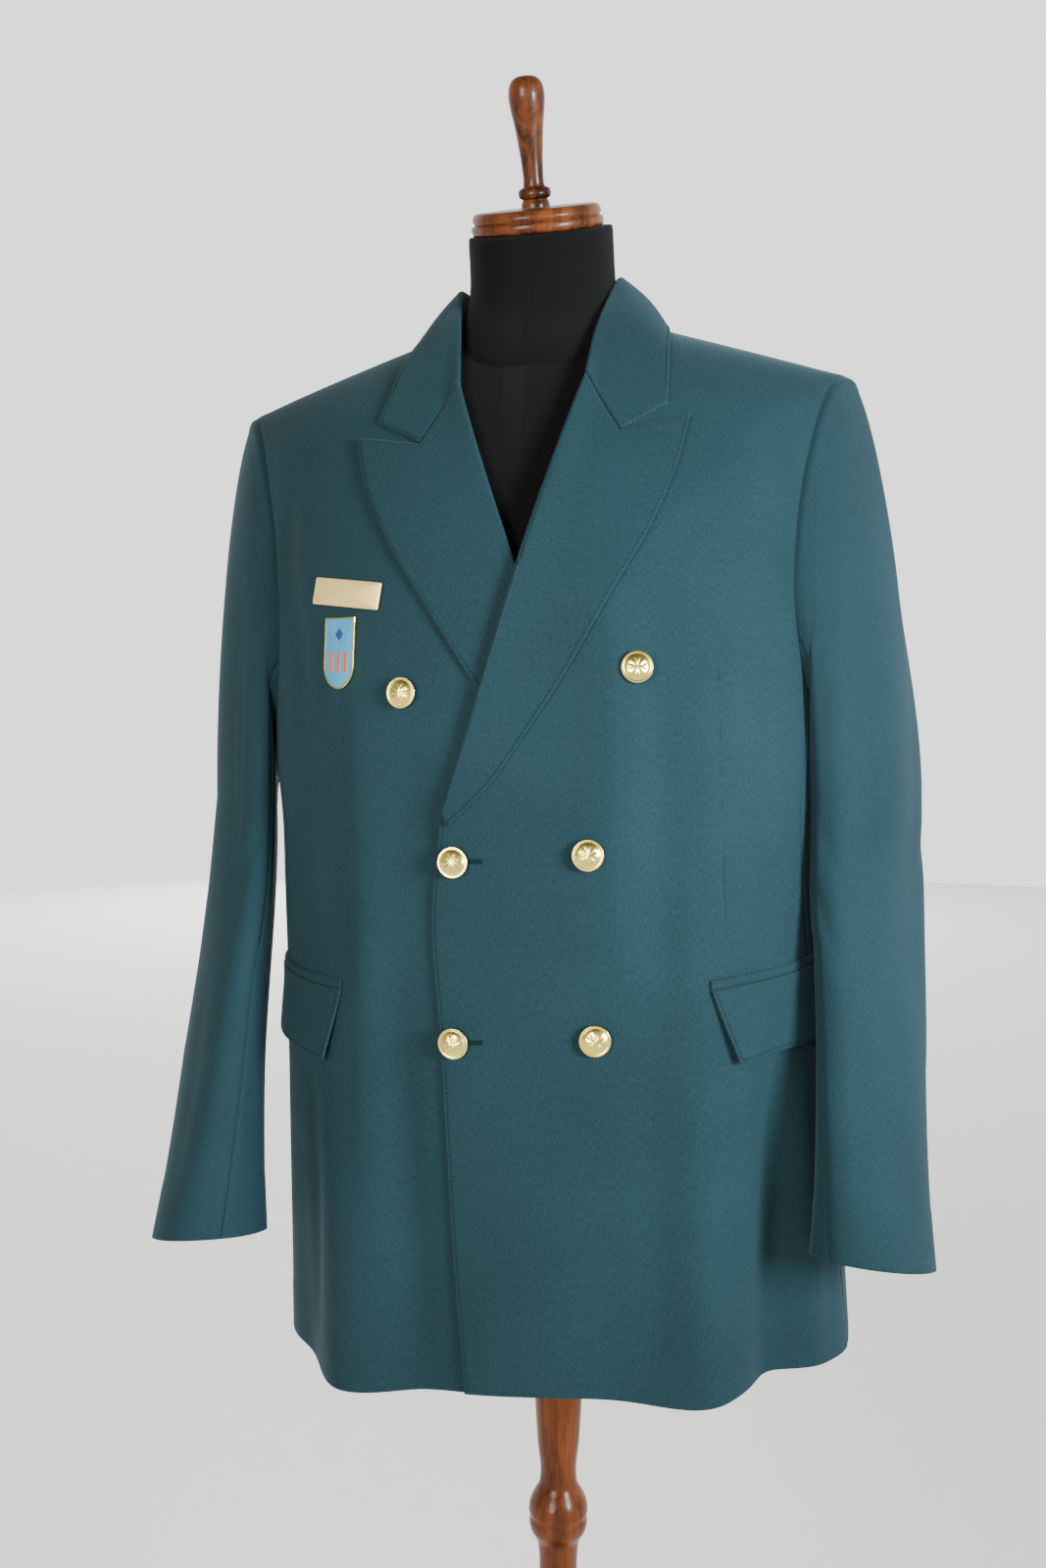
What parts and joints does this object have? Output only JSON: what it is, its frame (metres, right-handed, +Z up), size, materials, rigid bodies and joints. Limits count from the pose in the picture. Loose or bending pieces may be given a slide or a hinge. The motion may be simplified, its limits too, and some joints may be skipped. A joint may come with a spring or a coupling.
{
  "type": "uniform jacket on a dress form",
  "caption": "Double-breasted uniform jacket with peak lapels and domed gilt buttons, worn by a limbless dress form on a turned wooden pole and base.",
  "frame": {"origin": "centre of the round base's underside, under the pole's axis", "axes": "+Z up along the pole; the wearer faces -Y and the wearer's left is +X"},
  "size_m": [0.5674, 0.352, 1.5888],
  "materials": {
    "cloth": "dark blue-green wool twill",
    "gilt": "polished gilt",
    "plate": "satin",
    "enamel": "gloss enamel with a gilt rim",
    "jersey": "black knitted cover",
    "pole_wood": "varnished reddish brown",
    "neck_wood": "dark gloss varnish"
  },
  "bodies": {
    "root": {"left_front": "cloth", "right_front": "cloth", "left_side": "cloth", "right_side": "cloth", "left_back": "cloth", "right_back": "cloth", "left_upper_sleeve": "cloth", "right_upper_sleeve": "cloth", "left_under_sleeve": "cloth", "right_under_sleeve": "cloth", "left_lapel": "cloth", "right_lapel": "cloth", "collar": "cloth", "left_pocket_welt": "cloth", "right_pocket_welt": "cloth", "left_pocket_flap": "cloth", "right_pocket_flap": "cloth", "button_top_left": "gilt", "button_top_right": "gilt", "button_mid_left": "gilt", "button_mid_right": "gilt", "button_low_left": "gilt", "button_low_right": "gilt", "name_plate": "plate", "shield_pin": "enamel", "form_body": "jersey", "neck_cap": "neck_wood", "finial": "neck_wood", "pole": "pole_wood", "base": "pole_wood"}
  },
  "joints": []
}
